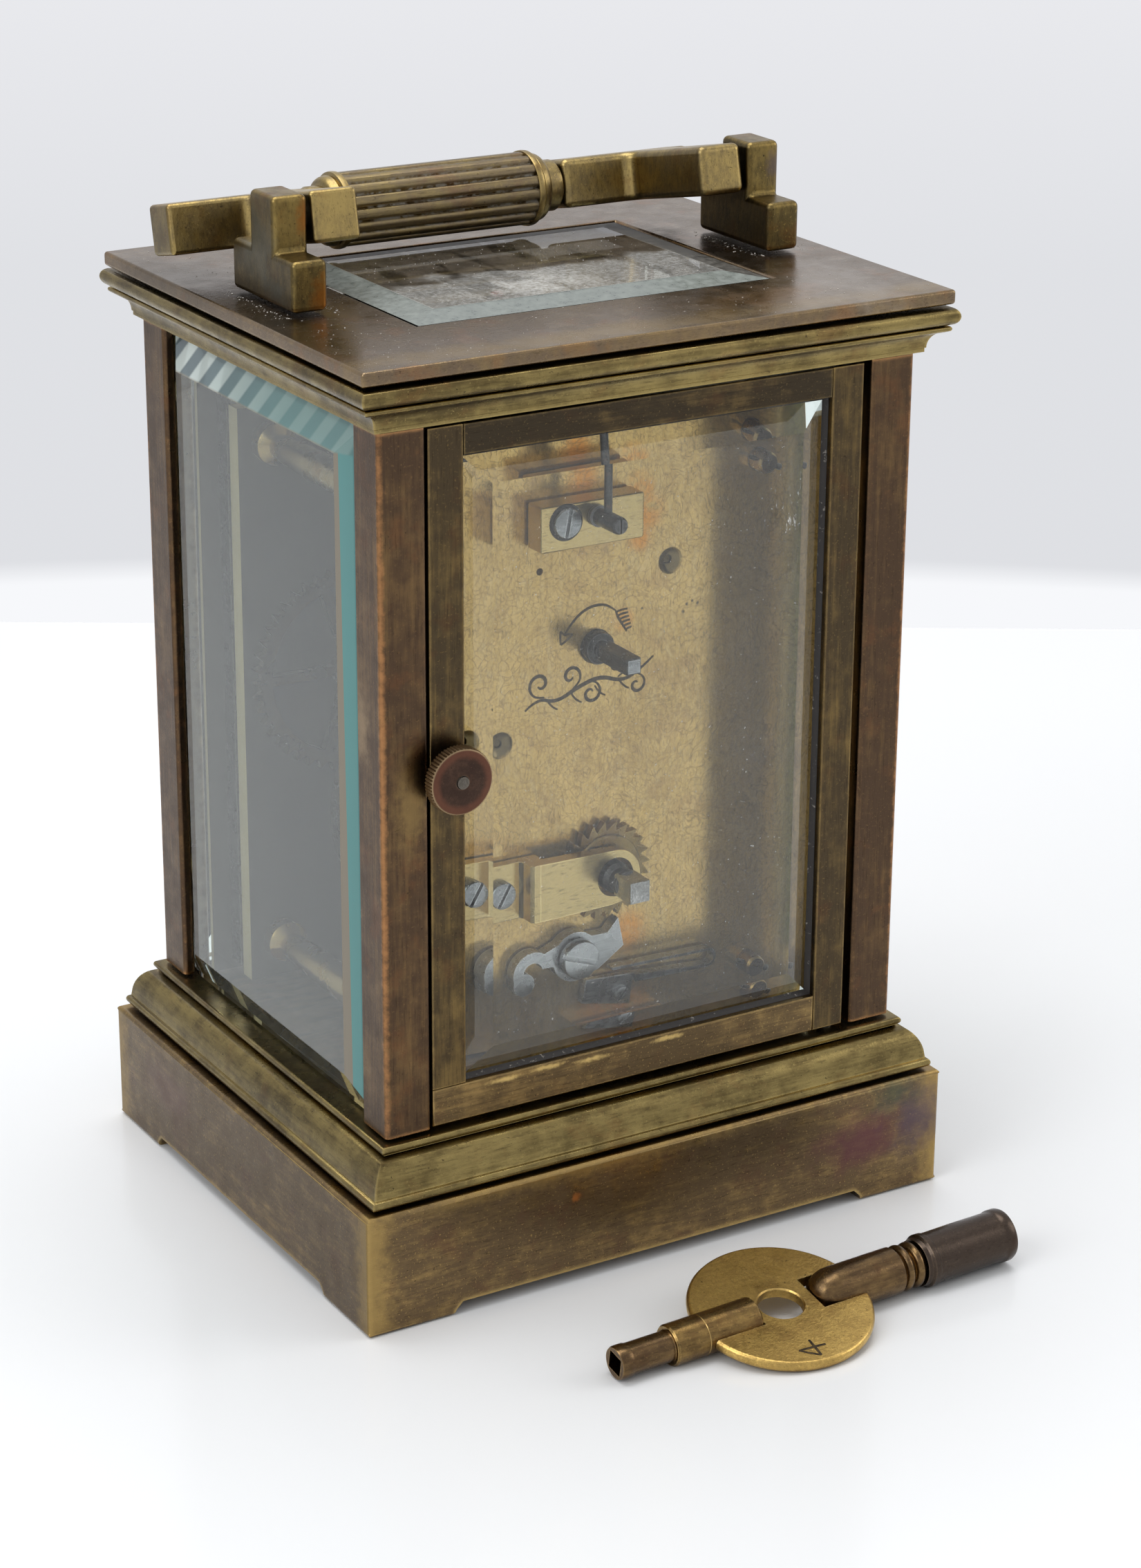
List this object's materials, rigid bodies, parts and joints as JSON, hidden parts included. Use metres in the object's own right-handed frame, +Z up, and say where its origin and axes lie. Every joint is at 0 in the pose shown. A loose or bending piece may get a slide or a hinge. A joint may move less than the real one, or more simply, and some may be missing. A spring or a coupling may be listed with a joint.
{
  "type": "carriage clock",
  "caption": "Brass carriage clock with moulded square-pillared case, bevelled glasses, folding handle, hinged rear door over the movement, and its double-ended winding key.",
  "frame": {"origin": "centre of the base cover's underside, under the middle of the case", "axes": "+Z up from the table, dial towards -Y, glazed door towards +Y, +X to the left seen from the rear"},
  "size_m": [0.084, 0.1058, 0.1323],
  "materials": {
    "case_brass": "dark patinated brass, worn on the edges",
    "moulding_brass": "aged golden brass",
    "top_brass": "dusty pinkish brass",
    "handle_brass": "olive aged brass",
    "movement_brass": "matt gilt with light stains",
    "steel": "fine ground",
    "blued_steel": "blued",
    "enamel": "white vitreous enamel on copper",
    "glass": "clear, bevelled",
    "knob_copper": "reddish patina",
    "key_brass": "polished, handled",
    "key_dark": "dark bronze tone"
  },
  "bodies": {
    "case": {"back_plate": "movement_brass", "balance_cock": "movement_brass", "base_cover": "case_brass", "base_moulding": "moulding_brass", "click_screw": "steel", "click_spring": "steel", "contrate_cock": "movement_brass", "cornice": "moulding_brass", "dial": "enamel", "door_pivot_bottom": "steel", "door_pivot_top": "steel", "front_glass": "glass", "front_plate": "movement_brass", "handle_post_left": "handle_brass", "handle_post_right": "handle_brass", "key_big_barrel": "key_dark", "key_bow": "key_brass", "key_small_barrel": "key_brass", "movement_foot": "movement_brass", "movement_pillar_high_left": "movement_brass", "movement_pillar_high_right": "movement_brass", "movement_pillar_low_left": "movement_brass", "movement_pillar_low_right": "movement_brass", "pillar_front_left": "case_brass", "pillar_front_right": "case_brass", "pillar_rear_left": "case_brass", "pillar_rear_right": "case_brass", "platform": "movement_brass", "plinth": "case_brass", "regulator_rod": "steel", "side_glass_left": "glass", "side_glass_right": "glass", "top_glass": "glass", "top_plate": "top_brass", "winding_cock": "movement_brass"},
    "door": {"door_frame": "case_brass", "door_glass": "glass"},
    "knob": {"door_knob": "knob_copper", "knob_spindle": "steel"},
    "handle": {"handle_arm_left": "handle_brass", "handle_arm_right": "handle_brass", "handle_grip": "handle_brass", "handle_pin_left": "steel", "handle_pin_right": "steel"},
    "winding": {"winding_arbor": "steel", "ratchet_wheel": "movement_brass"},
    "barrel": {"mainspring_barrel": "movement_brass"},
    "click": {"click": "steel"},
    "hands": {"centre_arbor": "steel", "minute_hand": "blued_steel"},
    "minute_wheel": {"minute_wheel": "movement_brass"},
    "hour": {"hour_wheel": "movement_brass", "hour_hand": "blued_steel"},
    "centre_wheel": {"centre_wheel": "movement_brass"},
    "second_wheel": {"second_wheel": "movement_brass"},
    "third_wheel": {"third_wheel": "movement_brass"},
    "contrate_wheel": {"contrate_wheel": "movement_brass"},
    "escape_wheel": {"escape_wheel": "movement_brass"},
    "balance": {"balance_wheel": "movement_brass"},
    "lever": {"pallet_lever": "steel"}
  },
  "joints": [
    {"name": "door_hinge", "type": "hinge", "parent": "case", "child": "door", "pos_m": [-0.0278, 0.02973, 0.0671], "axis": [0, 0, 1], "range_deg": [0, 105]},
    {"name": "knob_turn", "type": "hinge", "parent": "door", "child": "knob", "pos_m": [0.02805, 0.033, 0.0688], "axis": [0, -1, 0], "range_deg": [0, 90]},
    {"name": "handle_fold", "type": "hinge", "parent": "case", "child": "handle", "pos_m": [0, 0, 0.12855], "axis": [-1, 0, 0], "range_deg": [-4, 208]},
    {"name": "winding_turn", "type": "hinge", "parent": "case", "child": "winding", "pos_m": [-0.0009, 0.017, 0.0464], "axis": [0, 1, 0], "range_deg": [0, 1800]},
    {"name": "click_lift", "type": "hinge", "parent": "case", "child": "click", "pos_m": [0.0037, 0.0181, 0.0359], "axis": [0, -1, 0], "range_deg": [0, 12], "stiffness_Nm_per_rad": 0.01, "springref_deg": -17.19},
    {"name": "hands_turn", "type": "hinge", "parent": "case", "child": "hands", "pos_m": [0, 0, 0.0758], "axis": [0, 1, 0], "continuous": true},
    {"name": "minute_wheel_turn", "type": "hinge", "parent": "case", "child": "minute_wheel", "pos_m": [0.00463, -0.022, 0.07028], "axis": [0, 1, 0], "continuous": true},
    {"name": "hour_turn", "type": "hinge", "parent": "case", "child": "hour", "pos_m": [0, -0.024, 0.0758], "axis": [0, 1, 0], "continuous": true},
    {"name": "escape_turn", "type": "hinge", "parent": "case", "child": "escape_wheel", "pos_m": [-0.00045, 0.0058, 0.104], "axis": [0, 0, 1], "continuous": true},
    {"name": "contrate_turn", "type": "hinge", "parent": "case", "child": "contrate_wheel", "pos_m": [-0.00045, 0, 0.094], "axis": [0, 1, 0], "continuous": true},
    {"name": "third_turn", "type": "hinge", "parent": "case", "child": "third_wheel", "pos_m": [-0.0106, 0, 0.0851], "axis": [0, 1, 0], "continuous": true},
    {"name": "centre_turn", "type": "hinge", "parent": "case", "child": "centre_wheel", "pos_m": [0, 0, 0.0758], "axis": [0, 1, 0], "continuous": true},
    {"name": "second_turn", "type": "hinge", "parent": "case", "child": "second_wheel", "pos_m": [0.0135, 0, 0.0653], "axis": [0, 1, 0], "continuous": true},
    {"name": "barrel_turn", "type": "hinge", "parent": "case", "child": "barrel", "pos_m": [-0.0009, 0, 0.0464], "axis": [0, 1, 0], "continuous": true},
    {"name": "balance_swing", "type": "hinge", "parent": "case", "child": "balance", "pos_m": [-0.00045, -0.007, 0.107], "axis": [0, 0, 1], "range_deg": [-220, 220], "stiffness_Nm_per_rad": 0.000017},
    {"name": "lever_swing", "type": "hinge", "parent": "case", "child": "lever", "pos_m": [-0.00045, -0.0003, 0.1048], "axis": [0, 0, 1], "range_deg": [-5, 5]}
  ],
  "couplings": [
    {"joint": "minute_wheel_turn", "follows": "hands_turn", "ratio": -0.33333},
    {"joint": "hour_turn", "follows": "hands_turn", "ratio": 0.083333},
    {"joint": "escape_turn", "follows": "contrate_turn", "ratio": 10},
    {"joint": "third_turn", "follows": "contrate_turn", "ratio": -0.125},
    {"joint": "centre_turn", "follows": "contrate_turn", "ratio": 0.016667},
    {"joint": "second_turn", "follows": "contrate_turn", "ratio": -0.0043478},
    {"joint": "barrel_turn", "follows": "contrate_turn", "ratio": 0.00062112}
  ]
}
